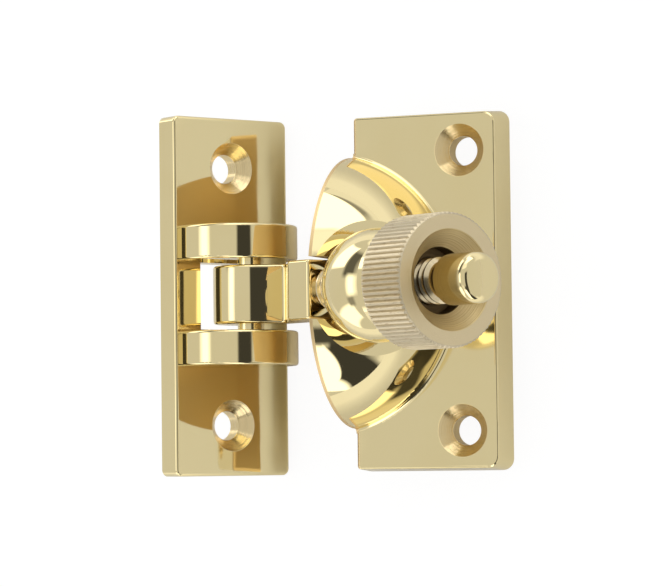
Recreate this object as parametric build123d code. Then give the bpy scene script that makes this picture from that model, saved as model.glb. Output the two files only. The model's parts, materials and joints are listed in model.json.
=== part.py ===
from build123d import *
import math
import os

# Screw-down sash fastener, in millimetres and degrees.
# The keep lies on its back in the XY plane with its origin at the middle of its back face.
# +X runs from the hinge side to the keep's far edge, +Y along the hinge pin, +Z out of the face.
# The hinge plate is shown turned on its pin, as when the fastener is held in the hand.

# Keep: plate
KEEP_HEIGHT = 59.6
KEEP_WIDTH = 25.6
KEEP_THICKNESS = 4.8
KEEP_SIDE_TAPER = 1.0
KEEP_END_TAPER = 0.4
KEEP_CORNER = 2.0
KEEP_INNER_CORNER = 0.6
KEEP_HOLE_X = 6.5
KEEP_HOLE_Y = 23.5

# Keep: dome, cut flat under the nut, dished for its nose and slotted for the stud
DOME_RADIUS = 23.6
DOME_CENTRE_X = -18.2
DOME_FRONT_LEAN = 3.5
DOME_CUT_ANGLE = 45.7
DOME_CUT_DISTANCE = 20.8
DOME_FILLET = 0.8
SEAT_CLEARANCE = 0.3
SLOT_WIDTH = 10.3
NECK_POCKET_DEPTH = 4.6
NECK_POCKET_ROOM = 0.5

# Screw holes, the same in both plates
SCREW_HOLE_RADIUS = 2.5
COUNTERSINK_RADIUS = 4.4
COUNTERSINK_DEPTH = 2.1

# Hinge plate
HINGE_HEIGHT = 61.4
HINGE_WIDTH = 23.7
HINGE_THICKNESS = 4.4
HINGE_CORNER = 1.2
HINGE_HOLE_Y = 22.1
HINGE_ANGLE = 61.0
LUG_RADIUS = 10.5
LUG_CENTRE_HEIGHT = 1.3
LUG_INNER_Y = 6.05
LUG_OUTER_Y = 11.95
LUG_ROOT_DEPTH = 1.0
WINDOW_WIDTH = 13.2
WINDOW_HEIGHT = 11.4

# Hinge pin, and how far it lies from the keep
PIN_RADIUS = 2.25
PIN_CLEARANCE = 0.05
PIN_HEIGHT = 5.4
PIN_X = -30.0

# Swing arm
ARM_ANGLE = 62.0
BARREL_RADIUS = 6.35
BARREL_LENGTH = 9.9
NECK_REACH = 20.8
NECK_END_HALF = 3.7
NECK_END_START = 15.3
NECK_BACK = 5.2
NECK_BACK_END = 12.0
NECK_ROOT = 2.5
NECK_END_ROUND = 0.6
NECK_HOLLOW_ROUND = 0.8
NECK_BROW_ROUND = 1.5
STUD_SOCKET_START = 15.6
STUD_SHANK_RADIUS = 2.3

# Stud
THREAD_RADIUS = 3.75
THREAD_ROOT_RADIUS = 3.25
THREAD_CHAMFER = 0.5
RELIEF_RADIUS = 2.6
RELIEF_LENGTH = 1.2
STOP_START = 53.1
STOP_RADIUS = 4.1
STUD_END = 60.8
STUD_END_ROUND = 1.5

# Nut, measured along the stud from the pin
NOSE_RADIUS = 9.35
NOSE_CENTRE = 34.85
NOSE_MOUTH_RADIUS = 4.7
NUT_BACK_OFF = 2.2
NECK_GROOVE_RADIUS = 8.2
DRUM_START = 43.4
DRUM_END = 52.9
DRUM_RADIUS = 10.8
DRUM_CHAMFER = 0.35
DISH_RADIUS = 8.15
DISH_DEPTH = 2.7
COUNTERBORE_RADIUS = 5.35
COUNTERBORE_DEPTH = 5.2
NUT_CLEARANCE = 0.08
KNURL_TEETH = 78
KNURL_DEPTH = 0.32
KNURL_GROOVE_SHARE = 0.62

# Polished edges
SOFT_EDGE = 0.5

BIG = 80.0
PIN_Z = HINGE_THICKNESS + PIN_HEIGHT
DOME_FRONT_OFFSET = -KEEP_WIDTH / 2 - DOME_CENTRE_X


def along_stud(shape):
    """Carries a shape built about the Z axis, from the pin, onto the arm's own axis."""
    return Location((PIN_X, 0, PIN_Z), (0, ARM_ANGLE, 0)) * shape


def on_pin(shape):
    """Carries a shape built on the hinge plate's face to its place on the pin."""
    return Location((PIN_X, 0, PIN_Z), (0, HINGE_ANGLE, 0)) * Pos(0, 0, -PIN_HEIGHT) * shape


def countersunk_hole(face_z, plate_thickness):
    """Through hole with its 90-degree countersink, to be cut from a face at face_z."""
    overshoot = 1.0
    section = Polyline(
        (0, face_z - plate_thickness - overshoot),
        (SCREW_HOLE_RADIUS, face_z - plate_thickness - overshoot),
        (SCREW_HOLE_RADIUS, face_z - COUNTERSINK_DEPTH),
        (COUNTERSINK_RADIUS, face_z),
        (COUNTERSINK_RADIUS, face_z + overshoot),
        (0, face_z + overshoot),
        close=True,
    )
    return revolve(Plane.XZ * make_face(section), Axis.Z)


def keep_plate():
    """Cast plate, tapered on the three sides away from the dome."""
    base_width = KEEP_WIDTH + KEEP_SIDE_TAPER
    base = Pos(KEEP_SIDE_TAPER / 2, 0, 0) * Rectangle(base_width, KEEP_HEIGHT + 2 * KEEP_END_TAPER)
    face = Pos(0, 0, KEEP_THICKNESS) * Rectangle(KEEP_WIDTH, KEEP_HEIGHT)
    plate = loft([base, face])
    uprights = [edge for edge in plate.edges() if abs(edge.tangent_at(0.5).Z) > 0.9]
    plate = fillet([edge for edge in uprights if edge.center().X > 0], KEEP_CORNER)
    uprights = [edge for edge in plate.edges() if abs(edge.tangent_at(0.5).Z) > 0.9]
    plate = fillet([edge for edge in uprights if edge.center().X < 0], KEEP_INNER_CORNER)
    rim = plate.faces().sort_by(Axis.Z)[-1].outer_wire().edges()
    return fillet([edge for edge in rim if edge.center().X > -KEEP_WIDTH / 2 + SOFT_EDGE], SOFT_EDGE)


def keep_dome():
    """Quarter ball on the plate's inner edge, with its leaning front, its flat and its fillet."""
    fillet_top = math.sqrt(DOME_RADIUS**2 - DOME_FILLET**2)
    halfway = math.sqrt(0.5) * DOME_RADIUS
    section = (
        ThreePointArc((0, DOME_RADIUS), (halfway, halfway), (fillet_top, DOME_FILLET))
        + RadiusArc((fillet_top, DOME_FILLET), (fillet_top + DOME_FILLET, 0), -DOME_FILLET)
        + Polyline(
            (fillet_top + DOME_FILLET, 0),
            (fillet_top + DOME_FILLET, -DOME_FILLET),
            (0, -DOME_FILLET),
            (0, DOME_RADIUS),
        )
    )
    ball = revolve(Plane.XZ * make_face(section), Axis.Z)
    front = Location((DOME_FRONT_OFFSET, 0, 0), (0, DOME_FRONT_LEAN, 0))
    behind_front = front * Box(BIG, BIG, BIG, align=(Align.MIN, Align.CENTER, Align.CENTER))
    over_flat = Rot(0, DOME_CUT_ANGLE, 0) * Pos(0, 0, DOME_CUT_DISTANCE) * Box(
        BIG, BIG, BIG, align=(Align.CENTER, Align.CENTER, Align.MIN)
    )
    return Pos(DOME_CENTRE_X, 0, KEEP_THICKNESS) * ((ball & behind_front) - over_flat)


def keep_seat():
    """Hollow that takes the nut's nose when the nut is screwed down."""
    return along_stud(Pos(0, 0, NOSE_CENTRE - NUT_BACK_OFF) * Sphere(NOSE_RADIUS + SEAT_CLEARANCE))


def keep_slot():
    """Round-bottomed slot that the stud drops into, squared at its mouth for the arm's neck."""
    floor = Circle(SLOT_WIDTH / 2)
    way_out = Rectangle(BIG, SLOT_WIDTH, align=(Align.MAX, Align.CENTER))
    mouth = Pos(NECK_POCKET_DEPTH, 0) * way_out
    channel = extrude(floor + way_out, NOSE_CENTRE)
    return along_stud(channel + extrude(mouth, NECK_REACH + NECK_POCKET_ROOM))


def keep():
    """Plate and dome in one casting, with its seat, slot and screw holes."""
    body = keep_plate() + keep_dome()
    body -= keep_seat()
    body -= keep_slot()
    hole = countersunk_hole(KEEP_THICKNESS, KEEP_THICKNESS)
    for side in (-1, 1):
        body -= Pos(KEEP_HOLE_X, side * KEEP_HOLE_Y, 0) * hole
    return body


def hinge_lug():
    """One knuckle lug: a rounded cheek that rises from the plate's face."""
    above_root = Pos(0, -LUG_ROOT_DEPTH) * Rectangle(BIG, BIG, align=(Align.CENTER, Align.MIN))
    cheek = Pos(0, LUG_CENTRE_HEIGHT) * Circle(LUG_RADIUS) & above_root
    lug = extrude(Plane.XZ * cheek, LUG_OUTER_Y - LUG_INNER_Y, dir=(0, 1, 0))
    rims = lug.edges().filter_by(GeomType.CIRCLE)
    return Pos(0, LUG_INNER_Y, 0) * fillet(rims, SOFT_EDGE)


def hinge_plate():
    """Plate with two lugs, the window the barrel sinks into, and its screw holes."""
    plate = extrude(RectangleRounded(HINGE_WIDTH, HINGE_HEIGHT, HINGE_CORNER), -HINGE_THICKNESS)
    plate = fillet(plate.faces().sort_by(Axis.Z)[-1].edges(), SOFT_EDGE)
    lug = hinge_lug()
    body = plate + lug + mirror(lug, Plane.XZ)
    body -= Box(WINDOW_WIDTH, WINDOW_HEIGHT, 3 * HINGE_THICKNESS)
    pin_bore = Cylinder(PIN_RADIUS, BIG, rotation=(90, 0, 0))
    body -= Pos(0, 0, PIN_HEIGHT) * pin_bore
    hole = countersunk_hole(0, HINGE_THICKNESS)
    for side in (-1, 1):
        body -= Pos(0, side * HINGE_HOLE_Y, 0) * hole
    return on_pin(body)


def hinge_pin():
    """Plain pin, riveted over and filed flush with the outer faces of the lugs."""
    pin = Cylinder(PIN_RADIUS, 2 * LUG_OUTER_Y, rotation=(90, 0, 0))
    return on_pin(Pos(0, 0, PIN_HEIGHT) * pin)


def swing_arm():
    """Barrel and cranked neck in one casting, bored for the pin and tapped for the stud.

    The neck springs from the lower half of the barrel and rises to a square end about the stud.
    """
    neck = make_face(
        Polyline(
            (NECK_BACK, NECK_ROOT),
            (NECK_BACK, NECK_BACK_END),
            (NECK_END_HALF, NECK_REACH),
            (-NECK_END_HALF, NECK_REACH),
            (-NECK_END_HALF, NECK_END_START),
            close=True,
        )
    )
    outline = neck + Circle(BARREL_RADIUS)
    brow = outline.vertices().sort_by_distance((-NECK_END_HALF, NECK_END_START))[0]
    outline = fillet(brow, NECK_BROW_ROUND)
    hollow = outline.vertices().sort_by_distance((NECK_BACK / 2, BARREL_RADIUS))[0]
    outline = fillet(hollow, NECK_HOLLOW_ROUND)
    outline = fillet(outline.vertices().sort_by(Axis.Y)[-2:], NECK_END_ROUND)
    body = extrude(Plane.XZ * outline, BARREL_LENGTH / 2, both=True)
    rims = [edge for face in body.faces().filter_by(Axis.Y) for edge in face.edges()]
    body = fillet(rims, SOFT_EDGE)
    body -= Cylinder(PIN_RADIUS + PIN_CLEARANCE, BIG, rotation=(90, 0, 0))
    body -= Pos(0, 0, STUD_SOCKET_START) * Cylinder(
        STUD_SHANK_RADIUS, BIG, align=(Align.CENTER, Align.CENTER, Align.MIN)
    )
    return along_stud(body)


def threaded_stud():
    """Turned stud: shank in the arm, thread for the nut and a plain end that stops it."""
    section = Polyline(
        (0, STUD_SOCKET_START),
        (STUD_SHANK_RADIUS, STUD_SOCKET_START),
        (STUD_SHANK_RADIUS, NECK_REACH),
        (RELIEF_RADIUS, NECK_REACH),
        (RELIEF_RADIUS, NECK_REACH + RELIEF_LENGTH),
        (THREAD_ROOT_RADIUS, NECK_REACH + RELIEF_LENGTH),
        (THREAD_RADIUS, NECK_REACH + RELIEF_LENGTH + THREAD_CHAMFER),
        (THREAD_RADIUS, STOP_START - THREAD_CHAMFER),
        (THREAD_ROOT_RADIUS, STOP_START),
        (STOP_RADIUS, STOP_START),
        (STOP_RADIUS, STUD_END),
        (0, STUD_END),
        close=True,
    )
    body = revolve(Plane.XZ * make_face(section), Axis.Z)
    tip = body.faces().sort_by(Axis.Z)[-1].edges()
    return along_stud(fillet(tip, STUD_END_ROUND))


def nut_blank():
    """Turned shape of the nut: ball nose, groove, drum and dished end."""
    bore = THREAD_RADIUS + NUT_CLEARANCE
    nose_rise = math.sqrt(NOSE_RADIUS**2 - NOSE_MOUTH_RADIUS**2)
    groove_rise = math.sqrt(NOSE_RADIUS**2 - NECK_GROOVE_RADIUS**2)
    nose = ThreePointArc(
        (NOSE_MOUTH_RADIUS, NOSE_CENTRE - nose_rise),
        (NOSE_RADIUS, NOSE_CENTRE),
        (NECK_GROOVE_RADIUS, NOSE_CENTRE + groove_rise),
    )
    back = Polyline(
        (NECK_GROOVE_RADIUS, NOSE_CENTRE + groove_rise),
        (NECK_GROOVE_RADIUS, DRUM_START),
        (DRUM_RADIUS - DRUM_CHAMFER, DRUM_START),
        (DRUM_RADIUS, DRUM_START + DRUM_CHAMFER),
        (DRUM_RADIUS, DRUM_END - DRUM_CHAMFER),
        (DRUM_RADIUS - DRUM_CHAMFER, DRUM_END),
        (DISH_RADIUS, DRUM_END),
        (COUNTERBORE_RADIUS, DRUM_END - DISH_DEPTH),
        (COUNTERBORE_RADIUS, DRUM_END - COUNTERBORE_DEPTH),
        (bore, DRUM_END - COUNTERBORE_DEPTH),
        (bore, NOSE_CENTRE - nose_rise),
        (NOSE_MOUTH_RADIUS, NOSE_CENTRE - nose_rise),
    )
    return revolve(Plane.XZ * make_face(nose + back), Axis.Z)


def knurled_nut():
    """Nut with straight knurling: a ring of fine V grooves cut along the drum."""
    groove_half_width = KNURL_GROOVE_SHARE * math.pi * DRUM_RADIUS / KNURL_TEETH
    groove = make_face(
        Polyline(
            (DRUM_RADIUS - KNURL_DEPTH, 0),
            (DRUM_RADIUS + KNURL_DEPTH, 2 * groove_half_width),
            (DRUM_RADIUS + KNURL_DEPTH, -2 * groove_half_width),
            close=True,
        )
    )
    toothed = Circle(DRUM_RADIUS) - [
        Rot(0, 0, tooth * 360 / KNURL_TEETH) * groove for tooth in range(KNURL_TEETH)
    ]
    drum_length = DRUM_END - DRUM_START
    envelope = Pos(0, 0, DRUM_START) * extrude(toothed, drum_length)
    blank = nut_blank()
    drum_zone = Pos(0, 0, DRUM_START) * Cylinder(
        BIG, drum_length, align=(Align.CENTER, Align.CENTER, Align.MIN)
    )
    drum = blank & envelope
    return along_stud((blank - drum_zone) + drum)


PARTS = {
    "keep": keep,
    "hinge_plate": hinge_plate,
    "hinge_pin": hinge_pin,
    "swing_arm": swing_arm,
    "threaded_stud": threaded_stud,
    "knurled_nut": knurled_nut,
}

os.makedirs("parts", exist_ok=True)
for name, build in PARTS.items():
    export_step(build(), f"parts/{name}.step")
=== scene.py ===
import json
import math

import bmesh
import bpy
from mathutils import Matrix, Vector


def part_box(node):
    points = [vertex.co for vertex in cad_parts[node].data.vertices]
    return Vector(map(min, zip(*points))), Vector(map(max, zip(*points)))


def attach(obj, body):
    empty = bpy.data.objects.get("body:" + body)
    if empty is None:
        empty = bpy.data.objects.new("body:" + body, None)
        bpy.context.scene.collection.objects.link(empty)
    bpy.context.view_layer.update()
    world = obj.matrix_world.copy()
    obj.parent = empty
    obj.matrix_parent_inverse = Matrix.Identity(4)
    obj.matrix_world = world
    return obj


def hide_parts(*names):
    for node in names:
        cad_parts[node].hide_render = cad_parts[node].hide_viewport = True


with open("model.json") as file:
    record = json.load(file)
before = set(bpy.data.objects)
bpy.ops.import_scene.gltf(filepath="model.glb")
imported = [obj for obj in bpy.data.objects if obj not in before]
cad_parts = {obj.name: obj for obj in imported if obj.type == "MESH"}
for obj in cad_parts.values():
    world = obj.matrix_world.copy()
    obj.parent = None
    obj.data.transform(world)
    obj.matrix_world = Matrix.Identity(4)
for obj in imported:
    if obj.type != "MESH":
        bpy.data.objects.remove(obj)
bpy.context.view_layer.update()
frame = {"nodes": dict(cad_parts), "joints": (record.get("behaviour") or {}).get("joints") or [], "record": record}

nodes = frame["nodes"]
mounts = {mount["name"]: mount for mount in frame["record"]["mounts"]}
joints = {joint["name"]: joint for joint in frame["joints"]}


# Keep
# A plate and a quarter-ball dome in one brass casting, linished and then buffed to a mirror.
# The buffing leaves soft ripples, faint hairlines and a little dull compound. The screw holes
# are countersunk after it, and their cones keep the cutter's rings.
MM = 0.001
POLISHED = (0.93, 0.79, 0.44)
POLISHED_DULL = (0.90, 0.75, 0.40)
POLISHED_GLOSS = (0.035, 0.10)
MACHINED = (0.86, 0.69, 0.38)
LINISHED = (0.78, 0.58, 0.30)
AS_CAST = (0.70, 0.52, 0.26)
CONE_RADIUS = 4.42 * MM
DOME_SIDE = (-12.8 * MM, 0.0, 4.8 * MM)
DOME_SIDE_LEAN = -86.5
SKIN = 0.5 * MM
SLOT_HALF_WIDTH = 5.17 * MM
SLOT_END_X = -2.0 * MM
HAIRLINE_STRETCH = 0.05
RINGS_PER_HEIGHT = 0.7


def add(tree, kind, **values):
    """A shader node, with its settings and unlinked inputs given by name."""
    node = tree.nodes.new("ShaderNode" + kind)
    for key, value in values.items():
        if hasattr(node, key):
            setattr(node, key, value)
        else:
            node.inputs[key.replace("_", " ")].default_value = value
    return node


def calc(tree, operation, *terms, clamp=False):
    """The result of a Math node on numbers and sockets."""
    node = add(tree, "Math", operation=operation, use_clamp=clamp)
    for socket, term in zip(node.inputs, terms):
        if isinstance(term, (int, float)):
            socket.default_value = term
        else:
            tree.links.new(term, socket)
    return node.outputs["Value"]


def node_group(name, inputs, outputs):
    """A node group with typed inputs and plain number outputs, and its inner sockets."""
    group = bpy.data.node_groups.new(name, "ShaderNodeTree")
    for label, kind, value in inputs:
        socket = group.interface.new_socket(label, in_out="INPUT", socket_type=kind)
        if value is not None:
            socket.default_value = value
    for label in outputs:
        group.interface.new_socket(label, in_out="OUTPUT", socket_type="NodeSocketFloat")
    inner_inputs = group.nodes.new("NodeGroupInput").outputs
    inner_outputs = group.nodes.new("NodeGroupOutput").inputs
    return group, inner_inputs, inner_outputs


# hairlines along one direction, soft ripples, and patches of dull compound
buffed, buffed_in, buffed_out = node_group(
    "buffed_marks",
    [
        ("Vector", "NodeSocketVector", None),
        ("Hairline Scale", "NodeSocketFloat", 900.0),
        ("Ripple Scale", "NodeSocketFloat", 110.0),
        ("Patch Scale", "NodeSocketFloat", 60.0),
    ],
    ["Hairlines", "Ripples", "Dullness"],
)
along_buff = add(buffed, "Mapping", Scale=(1.0, HAIRLINE_STRETCH, 1.0))
buffed.links.new(buffed_in["Vector"], along_buff.inputs["Vector"])
for result, scale, detail, place in (
    ("Hairlines", "Hairline Scale", 3.0, along_buff.outputs["Vector"]),
    ("Ripples", "Ripple Scale", 1.0, buffed_in["Vector"]),
    ("Dullness", "Patch Scale", 4.0, buffed_in["Vector"]),
):
    noise = add(buffed, "TexNoise", Detail=detail, Roughness=0.5)
    buffed.links.new(place, noise.inputs["Vector"])
    buffed.links.new(buffed_in[scale], noise.inputs["Scale"])
    buffed.links.new(noise.outputs["Fac"], buffed_out[result])

# distance from a turned axis, height along it, and the fine rings that a cutter leaves round it;
# an axis offset gives two axes, one each side of the middle
turned_marks, turned_in, turned_out = node_group(
    "turned_marks",
    [
        ("Vector", "NodeSocketVector", None),
        ("Axis Offset", "NodeSocketFloat", 0.0),
        ("Ring Scale", "NodeSocketFloat", 9000.0),
    ],
    ["Radius", "Height", "Rings"],
)
position = add(turned_marks, "SeparateXYZ")
turned_marks.links.new(turned_in["Vector"], position.inputs["Vector"])
x_apart = position.outputs["X"]
y_apart = calc(
    turned_marks,
    "SUBTRACT",
    calc(turned_marks, "ABSOLUTE", position.outputs["Y"]),
    turned_in["Axis Offset"],
)
x_squared = calc(turned_marks, "MULTIPLY", x_apart, x_apart)
y_squared = calc(turned_marks, "MULTIPLY", y_apart, y_apart)
radius = calc(turned_marks, "SQRT", calc(turned_marks, "ADD", x_squared, y_squared))
rise = calc(turned_marks, "MULTIPLY", position.outputs["Z"], RINGS_PER_HEIGHT)
travel = calc(turned_marks, "ADD", radius, rise)
rings = add(turned_marks, "TexNoise", noise_dimensions="1D", Scale=1.0, Detail=2.0, Roughness=0.7)
turned_marks.links.new(calc(turned_marks, "MULTIPLY", travel, turned_in["Ring Scale"]), rings.inputs["W"])
turned_marks.links.new(radius, turned_out["Radius"])
turned_marks.links.new(position.outputs["Z"], turned_out["Height"])
turned_marks.links.new(rings.outputs["Fac"], turned_out["Rings"])


def marks(tree, group, place, **values):
    """The outputs of a group of marks laid at a place."""
    use = tree.nodes.new("ShaderNodeGroup")
    use.node_tree = group
    tree.links.new(place, use.inputs["Vector"])
    for key, value in values.items():
        use.inputs[key.replace("_", " ")].default_value = value
    return use.outputs


def relief(tree, height, depth):
    """Adds fine relief to whatever the surface has already."""
    shader = tree.nodes["Principled BSDF"]
    bump = add(tree, "Bump", Strength=1.0, Distance=depth)
    tree.links.new(height, bump.inputs["Height"])
    if shader.inputs["Normal"].is_linked:
        tree.links.new(shader.inputs["Normal"].links[0].from_socket, bump.inputs["Normal"])
    tree.links.new(bump.outputs["Normal"], shader.inputs["Normal"])


def below(tree, value, limit, soft=2.0e-5):
    """Mask of 1 where a length is under its limit, with a soft edge."""
    room = calc(tree, "SUBTRACT", limit, value)
    return calc(tree, "MULTIPLY_ADD", room, 1.0 / soft, 0.5, clamp=True)


def both(tree, first, second):
    """Mask of 1 where two masks meet."""
    return calc(tree, "MULTIPLY", first, second)


def without(tree, mask):
    """Mask of 1 where another is 0."""
    return calc(tree, "SUBTRACT", 1.0, mask)


def part_of_noise(tree, noise, start, end):
    """Mask that rises from 0 to 1 between two levels of a noise."""
    level = add(tree, "MapRange", From_Min=start, From_Max=end)
    tree.links.new(noise, level.inputs["Value"])
    return level.outputs["Result"]


def buffed_brass(name, gloss=POLISHED_GLOSS, ripple=3.0e-5, hairline=3.0e-7):
    """Brass buffed to a mirror, with dull compound left in patches."""
    material = bpy.data.materials.new(name)
    material.use_nodes = True
    tree = material.node_tree
    shader = tree.nodes["Principled BSDF"]
    shader.inputs["Metallic"].default_value = 1.0
    place = add(tree, "TexCoord").outputs["Object"]
    look = marks(tree, buffed, place)
    patch = part_of_noise(tree, look["Dullness"], 0.45, 0.8)
    tint = add(tree, "Mix", data_type="RGBA")
    tint.inputs["A"].default_value = (*POLISHED, 1.0)
    tint.inputs["B"].default_value = (*POLISHED_DULL, 1.0)
    tree.links.new(patch, tint.inputs["Factor"])
    tree.links.new(tint.outputs["Result"], shader.inputs["Base Color"])
    sheen = add(tree, "MapRange", To_Min=gloss[0], To_Max=gloss[1])
    tree.links.new(patch, sheen.inputs["Value"])
    tree.links.new(sheen.outputs["Result"], shader.inputs["Roughness"])
    relief(tree, look["Ripples"], ripple)
    relief(tree, look["Hairlines"], hairline)
    return material


def finish_where(material, mask, colour, roughness, height=None, depth=0.0):
    """Gives the part of a surface under a mask its own colour, gloss and relief."""
    tree = material.node_tree
    shader = tree.nodes["Principled BSDF"]
    tint = add(tree, "Mix", data_type="RGBA")
    tree.links.new(mask, tint.inputs["Factor"])
    tree.links.new(shader.inputs["Base Color"].links[0].from_socket, tint.inputs["A"])
    tint.inputs["B"].default_value = (*colour, 1.0)
    tree.links.new(tint.outputs["Result"], shader.inputs["Base Color"])
    gloss = add(tree, "Mix")
    tree.links.new(mask, gloss.inputs["Factor"])
    tree.links.new(shader.inputs["Roughness"].links[0].from_socket, gloss.inputs["A"])
    gloss.inputs["B"].default_value = roughness
    tree.links.new(gloss.outputs["Result"], shader.inputs["Roughness"])
    if height is not None:
        relief(tree, calc(tree, "MULTIPLY", height, mask), depth)


def seen_along(tree, origin, turn_deg):
    """Object coordinates from an origin, turned about Y so that Z is the piece's own axis."""
    frame_of_axis = add(tree, "Mapping", vector_type="TEXTURE", Location=origin)
    frame_of_axis.inputs["Rotation"].default_value = (0.0, math.radians(turn_deg), 0.0)
    tree.links.new(add(tree, "TexCoord").outputs["Object"], frame_of_axis.inputs["Vector"])
    return frame_of_axis.outputs["Vector"]


def lean(axis):
    """Angle in degrees from +Z towards +X."""
    return math.degrees(math.atan2(axis[0], axis[2]))


def machine_holes(material, mount, offset):
    """Countersunk cones and bores, one each side of the middle, with the cutter's rings."""
    tree = material.node_tree
    x, _, z = mount["pos_m"]
    place = seen_along(tree, (x, 0.0, z), lean(mount["axis"]))
    turned = marks(tree, turned_marks, place, Axis_Offset=offset, Ring_Scale=7000.0)
    in_cone = below(tree, turned["Radius"], CONE_RADIUS)
    finish_where(material, in_cone, MACHINED, roughness=0.17, height=turned["Rings"], depth=2.0e-5)


keep_brass = buffed_brass("polished_keep")
tree = keep_brass.node_tree

# the dome's flat side is only linished, and shows as an even brown in the hinge plate
from_side = marks(tree, turned_marks, seen_along(tree, DOME_SIDE, DOME_SIDE_LEAN))
on_side = without(tree, below(tree, from_side["Height"], -SKIN))
finish_where(keep_brass, on_side, LINISHED, roughness=0.42)

# the slot for the arm is left as cast
spot = add(tree, "SeparateXYZ")
tree.links.new(add(tree, "TexCoord").outputs["Object"], spot.inputs["Vector"])
beside_slot = below(tree, calc(tree, "ABSOLUTE", spot.outputs["Y"]), SLOT_HALF_WIDTH)
in_slot = both(tree, beside_slot, below(tree, spot.outputs["X"], SLOT_END_X))
finish_where(keep_brass, in_slot, AS_CAST, roughness=0.45)
keep_screws = mounts["keep_screws"]
machine_holes(keep_brass, keep_screws, keep_screws["dims"]["spacing_y_mm"] / 2.0 * MM)
nodes["keep"].data.materials[0] = keep_brass


# Hinge plate
# A cast plate with two lugs and a window between them for the arm's barrel. It is buffed as
# the keep is, and its two screw holes are countersunk.
hinge_brass = buffed_brass("polished_hinge")
hinge_screw = mounts["hinge_screw_upper"]
machine_holes(hinge_brass, hinge_screw, hinge_screw["pos_m"][1])
nodes["hinge_plate"].data.materials[0] = hinge_brass


# Hinge pin
# Drawn brass rod that the barrel turns on, riveted over in the lugs.
# Its ends are linished flush with them, so it is duller and more scratched than the castings.
pin_brass = buffed_brass("linished_pin", gloss=(0.10, 0.20), hairline=1.5e-6)
nodes["hinge_pin"].data.materials[0] = pin_brass


# Swing arm
# Barrel and cranked neck in one casting, bored for the pin. Buffing by hand has flattened the
# barrel's side towards the nut, where it runs up to the neck.
PIN = Vector(joints["arm_swing"]["pos_m"])
ARM_LEAN = lean(joints["nut_travel"]["axis"])
ALONG_STUD = Matrix.Translation(PIN) @ Matrix.Rotation(math.radians(ARM_LEAN), 4, "Y")
ARM_HALF_WIDTH = 4.95 * MM
ARM_RIM = 0.5 * MM
RIM_STEPS = 4
BARREL_RADIUS = 6.35 * MM
BORE_RADIUS = 2.3 * MM
FLANK_RADIUS = 22.6 * MM
FLANK_START_DEG = -36
FLANK_END_DEG = -18.5
FLANK_END = Vector((1.62, 7.65)) * MM
FLANK_ROUND = 0.5 * MM
FLANK_STEPS_ROUNDED = 2
NECK_BACK = Vector((5.2, 3.65)) * MM
NECK_SHOULDER = Vector((5.2, 12.0)) * MM
NECK_END_BACK = Vector((3.7, 20.8)) * MM
NECK_END_FRONT = Vector((-3.7, 20.8)) * MM
NECK_END_ROUND = 0.6 * MM
NECK_BROW = Vector((-3.7, 15.3)) * MM
NECK_BROW_ROUND = 1.5 * MM
BARREL_START_DEG = -46
FRONT_DEG = -90
BACK_DEG = -270
BARREL_END_DEG = -303
FRONT_AGAIN_DEG = -450
ARC_STEP_DEG = 3
SHARP_ANGLE = math.radians(28.0)
CLEAR_OF_BORE = 1.5 * BORE_RADIUS


def arc(centre, size, start_deg, end_deg):
    """Points from one bearing to another, measured from the height axis towards the radius axis."""
    count = max(2, round(abs(end_deg - start_deg) / ARC_STEP_DEG))
    step_deg = (end_deg - start_deg) / count
    bearings = [math.radians(start_deg + step_deg * step) for step in range(count + 1)]
    return [centre + size * Vector((math.sin(turn), math.cos(turn))) for turn in bearings]


def rounded(before, corner, after, size, steps=6, support=0.15 * MM):
    """A corner turned with a radius, with a point just before and just after it."""
    back = (before - corner).normalized()
    on = (after - corner).normalized()
    half = back.angle(on) / 2
    reach = size / math.tan(half)
    centre = corner + (back + on).normalized() * (size / math.sin(half))
    first = (corner + back * reach - centre).normalized()
    last = (corner + on * reach - centre).normalized()
    curve = [centre + first.slerp(last, step / steps) * size for step in range(steps + 1)]
    return [corner + back * (reach + support), *curve, corner + on * (reach + support)]


def finished_piece(name, shape, material):
    """Moves a shape from the arm's own axes to its place, and makes it a piece."""
    bmesh.ops.transform(shape, matrix=ALONG_STUD, verts=shape.verts)
    mesh = bpy.data.meshes.new(name)
    shape.to_mesh(mesh)
    shape.free()
    mesh.shade_smooth()
    mesh.set_sharp_from_angle(angle=SHARP_ANGLE)
    mesh.materials.append(material)
    piece = bpy.data.objects.new(name, mesh)
    bpy.context.scene.collection.objects.link(piece)
    return piece


# the outline seen along the pin: the barrel's back, the neck, the flank and the barrel's front;
# it and the bore are in two halves, the one under the pin and the one over it with the neck
origin = Vector((0.0, 0.0))
flank_end_turn = math.radians(FLANK_END_DEG)
flank_centre = FLANK_END - FLANK_RADIUS * Vector((math.sin(flank_end_turn), math.cos(flank_end_turn)))
flank = arc(flank_centre, FLANK_RADIUS, FLANK_END_DEG, FLANK_START_DEG)
barrel_under = arc(origin, BARREL_RADIUS, FRONT_DEG, BACK_DEG)
over_points = [
    *arc(origin, BARREL_RADIUS, BACK_DEG, BARREL_END_DEG)[1:],
    NECK_BACK,
    NECK_SHOULDER,
    *rounded(NECK_SHOULDER, NECK_END_BACK, NECK_END_FRONT, NECK_END_ROUND),
    *rounded(NECK_END_BACK, NECK_END_FRONT, NECK_BROW, NECK_END_ROUND),
    *rounded(NECK_END_FRONT, NECK_BROW, FLANK_END, NECK_BROW_ROUND),
    *rounded(NECK_BROW, FLANK_END, flank[FLANK_STEPS_ROUNDED], FLANK_ROUND),
    *flank[FLANK_STEPS_ROUNDED + 1:],
    *arc(origin, BARREL_RADIUS, BARREL_START_DEG, FRONT_DEG)[:-1],
]
bore_under = arc(origin, BORE_RADIUS, FRONT_DEG, BACK_DEG)
bore_over = arc(origin, BORE_RADIUS, BACK_DEG, FRONT_AGAIN_DEG)[1:-1]
arm_shape = bmesh.new()
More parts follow.
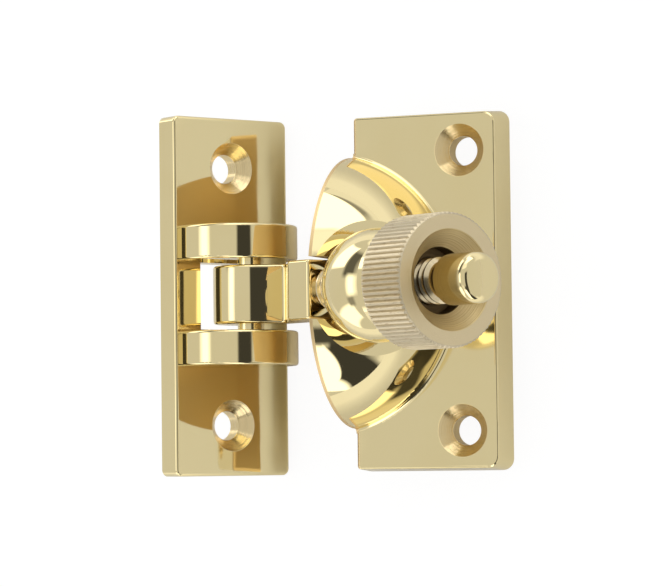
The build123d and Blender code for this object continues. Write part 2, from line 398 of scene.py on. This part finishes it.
under, over, bore_low, bore_high = (
    [arm_shape.verts.new((point.x, -ARM_HALF_WIDTH, point.y)) for point in points]
    for points in (barrel_under, over_points, bore_under, bore_over)
)
over_half = [under[-1], *over, under[0], bore_low[0], *reversed(bore_high), bore_low[-1]]
halves = [
    arm_shape.faces.new([*under, *reversed(bore_low)]),
    arm_shape.faces.new(over_half),
]
far_side = bmesh.ops.extrude_face_region(arm_shape, geom=halves, use_keep_orig=True)["geom"]
bmesh.ops.translate(
    arm_shape,
    verts=[item for item in far_side if isinstance(item, bmesh.types.BMVert)],
    vec=(0.0, 2.0 * ARM_HALF_WIDTH, 0.0),
)
bmesh.ops.recalc_face_normals(arm_shape, faces=arm_shape.faces)


def on_outer_rim(edge):
    """Whether an edge goes round a side of the arm, but not round the bore."""
    first, last = (corner.co for corner in edge.verts)
    from_pin = max(math.hypot(first.x, first.z), math.hypot(last.x, last.z))
    return first.y == last.y and edge.calc_face_angle() > SHARP_ANGLE and from_pin > CLEAR_OF_BORE


bmesh.ops.bevel(
    arm_shape,
    geom=[edge for edge in arm_shape.edges if on_outer_rim(edge)],
    offset=ARM_RIM,
    segments=RIM_STEPS,
    profile=0.5,
    affect="EDGES",
)
arm = finished_piece("cranked_arm", arm_shape, buffed_brass("polished_arm", ripple=5.0e-5))
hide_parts("swing_arm")
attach(arm, "arm")


# Stud
# A turned rod screwed into the arm: relief, thread for the nut, and a plain stop with a domed
# end. The thread is a ridge wound on the root, and the end is polished.
SHANK_START = 15.6 * MM
SHANK_END = 20.8 * MM
SHANK_RADIUS = 2.3 * MM
RELIEF_RADIUS = 2.6 * MM
RELIEF_END = 22.0 * MM
EDGE_BREAK = 0.2 * MM
THREAD_CREST = 3.75 * MM
THREAD_ROOT = 3.05 * MM
THREAD_PITCH = 1.25 * MM
THREAD_START = 22.4 * MM
RIDGE_SINK = 0.1 * MM
RIDGE_HALF_FOOT = 0.48 * THREAD_PITCH
RIDGE_HALF_CREST = 0.09 * THREAD_PITCH
STOP_START = 53.1 * MM
STOP_RADIUS = 4.1 * MM
STUD_END = 60.8 * MM
END_ROUND = 1.5 * MM
END_CROWN = 0.12 * MM
END_CROWN_RADIUS = 1.2 * MM
ROUND_STEPS = 8
TURN_STEPS = 96
RIDGE_STEPS = 40
THREAD_BRASS = (0.86, 0.72, 0.46)
STOP_BRASS = (0.62, 0.50, 0.25)


def outline(shape, points, closed=False):
    """A line of edges in the XZ plane, from pairs of radius and height."""
    corners = [shape.verts.new((across, 0.0, up)) for across, up in points]
    following = corners[1:] + corners[:1] if closed else corners[1:]
    for start, end in zip(corners, following):
        shape.edges.new((start, end))
    return corners


stop_end = [
    (
        STOP_RADIUS - END_ROUND + END_ROUND * math.cos(turn),
        STUD_END - END_CROWN - END_ROUND + END_ROUND * math.sin(turn),
    )
    for turn in (step / ROUND_STEPS * math.pi / 2 for step in range(ROUND_STEPS + 1))
]
core = bmesh.new()
outline(
    core,
    [
        (0.0, SHANK_START),
        (SHANK_RADIUS, SHANK_START),
        (SHANK_RADIUS, SHANK_END),
        (RELIEF_RADIUS, SHANK_END),
        (RELIEF_RADIUS, RELIEF_END),
        (THREAD_ROOT, RELIEF_END + EDGE_BREAK),
        (THREAD_ROOT, STOP_START),
        (STOP_RADIUS - EDGE_BREAK, STOP_START),
        (STOP_RADIUS, STOP_START + EDGE_BREAK),
        *stop_end,
        (END_CROWN_RADIUS, STUD_END - 0.2 * END_CROWN),
        (0.0, STUD_END),
    ],
)
bmesh.ops.spin(
    core,
    geom=core.verts[:] + core.edges[:],
    axis=(0.0, 0.0, 1.0),
    cent=(0.0, 0.0, 0.0),
    angle=2.0 * math.pi,
    steps=TURN_STEPS,
    use_merge=True,
)
bmesh.ops.remove_doubles(core, verts=core.verts, dist=1.0e-6)
bmesh.ops.recalc_face_normals(core, faces=core.faces)
ridge = bmesh.new()
corners = outline(
    ridge,
    [
        (THREAD_ROOT - RIDGE_SINK, THREAD_START - RIDGE_HALF_FOOT),
        (THREAD_CREST, THREAD_START - RIDGE_HALF_CREST),
        (THREAD_CREST, THREAD_START + RIDGE_HALF_CREST),
        (THREAD_ROOT - RIDGE_SINK, THREAD_START + RIDGE_HALF_FOOT),
    ],
    closed=True,
)
section = ridge.faces.new(corners)
turns = math.floor((STOP_START - THREAD_START - THREAD_PITCH) / THREAD_PITCH)
bmesh.ops.spin(
    ridge,
    geom=ridge.verts[:] + ridge.edges[:] + [section],
    axis=(0.0, 0.0, 1.0),
    cent=(0.0, 0.0, 0.0),
    dvec=(0.0, 0.0, THREAD_PITCH / RIDGE_STEPS),
    angle=2.0 * math.pi * turns,
    steps=RIDGE_STEPS * turns,
)
bmesh.ops.recalc_face_normals(ridge, faces=ridge.faces)
ridge_mesh = bpy.data.meshes.new("thread_ridge")
ridge.to_mesh(ridge_mesh)
ridge.free()
core.from_mesh(ridge_mesh)
bpy.data.meshes.remove(ridge_mesh)
stud_brass = buffed_brass("turned_stud", gloss=(0.06, 0.12), ripple=0.5e-5)
tree = stud_brass.node_tree
turned = marks(tree, turned_marks, seen_along(tree, PIN, ARM_LEAN), Ring_Scale=5000.0)
in_thread = below(tree, turned["Height"], STOP_START)
finish_where(stud_brass, in_thread, THREAD_BRASS, roughness=0.20)
under_end = below(tree, turned["Height"], STUD_END - END_ROUND, soft=4.0e-4)
stop_side = both(tree, without(tree, in_thread), under_end)
finish_where(stud_brass, stop_side, STOP_BRASS, roughness=0.12)
stud = finished_piece("turned_stud", core, stud_brass)
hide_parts("threaded_stud")
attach(stud, "arm")


# Nut
# Turned from bar: a polished ball nose, a straight-knurled drum, and a flat end, dish and
# counterbore left satin from the tool. The counterbore's near-black brown is painted shade.
DRUM_START = 43.35 * MM
RIM_RADIUS = 10.4 * MM
DISH_RADIUS = 8.15 * MM
COUNTERBORE_RADIUS = 5.4 * MM
SCRATCHES_ACROSS = 3500.0
SCRATCHES_ALONG = 500.0
KNURL_BRASS = (0.71, 0.61, 0.42)
SCRATCH_BRASS = (0.52, 0.42, 0.27)
FACE_BRASS = (0.82, 0.68, 0.42)
DISH_BRASS = (0.86, 0.70, 0.38)
GROOVE_BRASS = (0.66, 0.50, 0.24)
BORE_PAINTED_SHADE = (0.19, 0.13, 0.06)
nut_brass = buffed_brass("turned_nut", ripple=1.5e-5)
tree = nut_brass.node_tree
own_place = seen_along(tree, PIN, ARM_LEAN)
turned = marks(tree, turned_marks, own_place, Ring_Scale=6500.0)
drum = without(tree, below(tree, turned["Height"], DRUM_START))
stretched = add(tree, "Mapping", Scale=(SCRATCHES_ACROSS, SCRATCHES_ACROSS, SCRATCHES_ALONG))
tree.links.new(own_place, stretched.inputs["Vector"])
scratched = add(tree, "TexNoise", Scale=1.0, Detail=5.0, Roughness=0.7)
tree.links.new(stretched.outputs["Vector"], scratched.inputs["Vector"])
scratches = scratched.outputs["Fac"]
finish_where(nut_brass, drum, KNURL_BRASS, roughness=0.36, height=scratches, depth=5.0e-5)
scratch = both(tree, part_of_noise(tree, scratches, 0.54, 0.66), drum)
finish_where(nut_brass, scratch, SCRATCH_BRASS, roughness=0.45)
face = both(tree, drum, below(tree, turned["Radius"], RIM_RADIUS))
finish_where(nut_brass, face, FACE_BRASS, roughness=0.30, height=turned["Rings"], depth=1.5e-5)
in_dish = both(tree, drum, below(tree, turned["Radius"], DISH_RADIUS))
finish_where(nut_brass, in_dish, DISH_BRASS, roughness=0.30, height=turned["Rings"], depth=6.0e-5)
groove = both(tree, part_of_noise(tree, turned["Rings"], 0.50, 0.62), in_dish)
finish_where(nut_brass, groove, GROOVE_BRASS, roughness=0.36)
# painted shade: the counterbore is coloured a near-black brown that stands for the shade inside it
bore_painted_shade = both(tree, drum, below(tree, turned["Radius"], COUNTERBORE_RADIUS))
finish_where(nut_brass, bore_painted_shade, BORE_PAINTED_SHADE, roughness=0.35)
nodes["knurled_nut"].data.materials[0] = nut_brass


# Studio
# A pale table under the fastener, and a light tent all round with brighter panels and dark
# cards, placed by what the brass mirrors. The camera looks down on the table, square to
# neither plate, from a place worked out from the two plates' outlines.
HALF_TURN_DEG = 180.0
TABLE_SIZE = 0.25
TABLE_GAP = 0.0002
TABLE_PAINT = (0.9, 0.9, 0.9, 1.0)
WHITE = (1.0, 1.0, 1.0, 1.0)
GLOW = 1.08
GLOW_SHARE = 0.85
MIRRORED_SHARE = 0.7
BRIGHTER_FROM = 0.05
BRIGHTEST_FROM = 0.09
LENS = 178.72
SENSOR = 36.0
CAMERA_PLACE = (0.20998, -0.02841, 0.51779)
CAMERA_ROLL = 0.0115
CAMERA_TILT = -0.0508
CAMERA_TURN = -0.4165
table = bpy.data.meshes.new("table")
shape = bmesh.new()
bmesh.ops.create_grid(shape, x_segments=1, y_segments=1, size=TABLE_SIZE)
low = min(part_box(name)[0].z for name in nodes) - TABLE_GAP
bmesh.ops.translate(shape, verts=shape.verts, vec=(0.0, 0.0, low))
shape.to_mesh(table)
shape.free()
table_top = bpy.data.objects.new("table", table)
bpy.context.scene.collection.objects.link(table_top)
paint = bpy.data.materials.new("pale_table")
paint.use_nodes = True
tree = paint.node_tree
tree.nodes.clear()
matt = add(tree, "BsdfDiffuse", Color=TABLE_PAINT)
glow = add(tree, "Emission", Color=WHITE, Strength=GLOW)
path = add(tree, "LightPath")
blend = add(tree, "MixShader")
out = add(tree, "OutputMaterial")

# the camera sees the table nearly white with its shadow, and the brass mirrors it brighter
# above and below the fastener
spot = add(tree, "SeparateXYZ")
tree.links.new(add(tree, "TexCoord").outputs["Object"], spot.inputs["Vector"])
open_table = add(
    tree, "MapRange", From_Min=BRIGHTER_FROM, From_Max=BRIGHTEST_FROM, To_Max=MIRRORED_SHARE
)
tree.links.new(calc(tree, "ABSOLUTE", spot.outputs["Y"]), open_table.inputs["Value"])
seen = calc(tree, "MULTIPLY", path.outputs["Is Camera Ray"], GLOW_SHARE)
mirrored = calc(tree, "MULTIPLY", path.outputs["Is Glossy Ray"], open_table.outputs["Result"])
tree.links.new(calc(tree, "ADD", seen, mirrored), blend.inputs["Fac"])
tree.links.new(matt.outputs["BSDF"], blend.inputs[1])
tree.links.new(glow.outputs["Emission"], blend.inputs[2])
tree.links.new(blend.outputs["Shader"], out.inputs["Surface"])
table.materials.append(paint)

# one panel of the tent, by its azimuth from +Z towards +X and its height towards +Y, in degrees
panel, panel_in, panel_out = node_group(
    "tent_panel",
    [
        ("Azimuth", "NodeSocketFloat", 0.0),
        ("Height", "NodeSocketFloat", 0.0),
        ("Middle Azimuth", "NodeSocketFloat", 0.0),
        ("Middle Height", "NodeSocketFloat", 0.0),
        ("Half Width", "NodeSocketFloat", 10.0),
        ("Half Height", "NodeSocketFloat", 10.0),
        ("Slope", "NodeSocketFloat", 0.0),
        ("Softness", "NodeSocketFloat", 4.0),
    ],
    ["Mask"],
)
beside = calc(
    panel,
    "WRAP",
    calc(panel, "SUBTRACT", panel_in["Azimuth"], panel_in["Middle Azimuth"]),
    HALF_TURN_DEG,
    -HALF_TURN_DEG,
)
over = calc(
    panel,
    "SUBTRACT",
    calc(panel, "SUBTRACT", panel_in["Height"], panel_in["Middle Height"]),
    calc(panel, "MULTIPLY", beside, panel_in["Slope"]),
)
edges = []
for offset, half in ((beside, "Half Width"), (over, "Half Height")):
    inside = calc(panel, "SUBTRACT", panel_in[half], calc(panel, "ABSOLUTE", offset))
    ramp = calc(panel, "DIVIDE", inside, panel_in["Softness"])
    edges.append(calc(panel, "ADD", ramp, 0.5, clamp=True))
panel.links.new(calc(panel, "MULTIPLY", *edges), panel_out["Mask"])

world = bpy.data.worlds.new("light_tent")
bpy.context.scene.world = world
world.use_nodes = True
tree = world.node_tree
tree.nodes.clear()
direction = add(tree, "SeparateXYZ")
tree.links.new(add(tree, "TexCoord").outputs["Generated"], direction.inputs["Vector"])
bearing = calc(tree, "ARCTAN2", direction.outputs["X"], direction.outputs["Z"])
azimuth = calc(tree, "DEGREES", bearing)
height = calc(tree, "DEGREES", calc(tree, "ARCSINE", direction.outputs["Y"]))

# light, azimuth, height, half width, half height, slope and softness; a later one covers an earlier
TENT_LIGHT = 0.66
PANEL_SOCKETS = ("Middle Azimuth", "Middle Height", "Half Width", "Half Height", "Slope", "Softness")
PANELS = (
    (0.92, 131, 60, 41, 40, 0.0, 6),
    (0.30, 84, 72, 6, 14, 0.0, 6),
    (1.90, 36, 74, 44, 22, 0.0, 4),
    (1.15, 10, 42, 26, 10, 0.0, 4),
    (1.90, -80, 86, 80, 9, 0.0, 6),
    (1.90, -157, 50, 9, 34, 0.0, 4),
    (1.90, -157, -50, 9, 34, 0.0, 4),
    (1.90, -103, 36, 43, 18, 0.24, 3),
    (0.12, -44, 36, 14, 22, 0.0, 8),
    (1.70, -80, -46, 38, 15, 0.0, 5),
    (0.30, -42, -28, 8, 8, 0.0, 6),
    (0.92, 108, -43, 18, 8, 0.0, 5),
    (0.90, -8, -36, 14, 7, 0.0, 5),
    (0.05, 40, -22, 13, 38, 0.0, 4),
    (0.05, 65, -64, 47, 14, -0.08, 4),
    (0.07, 27, -37, 16, 7, 0.0, 4),
    (1.90, 5, -70, 17, 24, 0.0, 3),
    (1.90, 40, -80, 20, 20, -0.75, 3),
    (1.90, 60, -86, 60, 10, 0.0, 4),
    (1.90, -37, 0, 9, 17, 0.0, 9),
)
light = None
for strength, *place in PANELS:
    mask = tree.nodes.new("ShaderNodeGroup")
    mask.node_tree = panel
    tree.links.new(azimuth, mask.inputs["Azimuth"])
    tree.links.new(height, mask.inputs["Height"])
    for label, value in zip(PANEL_SOCKETS, place):
        mask.inputs[label].default_value = value
    cover = add(tree, "Mix")
    tree.links.new(mask.outputs["Mask"], cover.inputs["Factor"])
    cover.inputs["A"].default_value = TENT_LIGHT
    if light is not None:
        tree.links.new(light, cover.inputs["A"])
    cover.inputs["B"].default_value = strength
    light = cover.outputs["Result"]
tent = add(tree, "Background", Color=WHITE)
tree.links.new(light, tent.inputs["Strength"])
backdrop = add(tree, "Background", Color=WHITE)
path = add(tree, "LightPath")
blend = add(tree, "MixShader")
out = add(tree, "OutputWorld")
tree.links.new(path.outputs["Is Camera Ray"], blend.inputs["Fac"])
tree.links.new(tent.outputs["Background"], blend.inputs[1])
tree.links.new(backdrop.outputs["Background"], blend.inputs[2])
tree.links.new(blend.outputs["Shader"], out.inputs["Surface"])

camera = bpy.data.cameras.new("camera")
camera.lens = LENS
camera.sensor_width = SENSOR
camera.clip_start = 0.05
camera.clip_end = 20.0
view = bpy.data.objects.new("camera", camera)
turn = (
    Matrix.Rotation(CAMERA_ROLL, 4, "Z")
    @ Matrix.Rotation(CAMERA_TILT, 4, "X")
    @ Matrix.Rotation(CAMERA_TURN, 4, "Y")
).transposed()
view.matrix_world = Matrix.Translation(CAMERA_PLACE) @ turn
bpy.context.scene.collection.objects.link(view)
bpy.context.scene.camera = view
bpy.context.scene.view_settings.view_transform = "Standard"
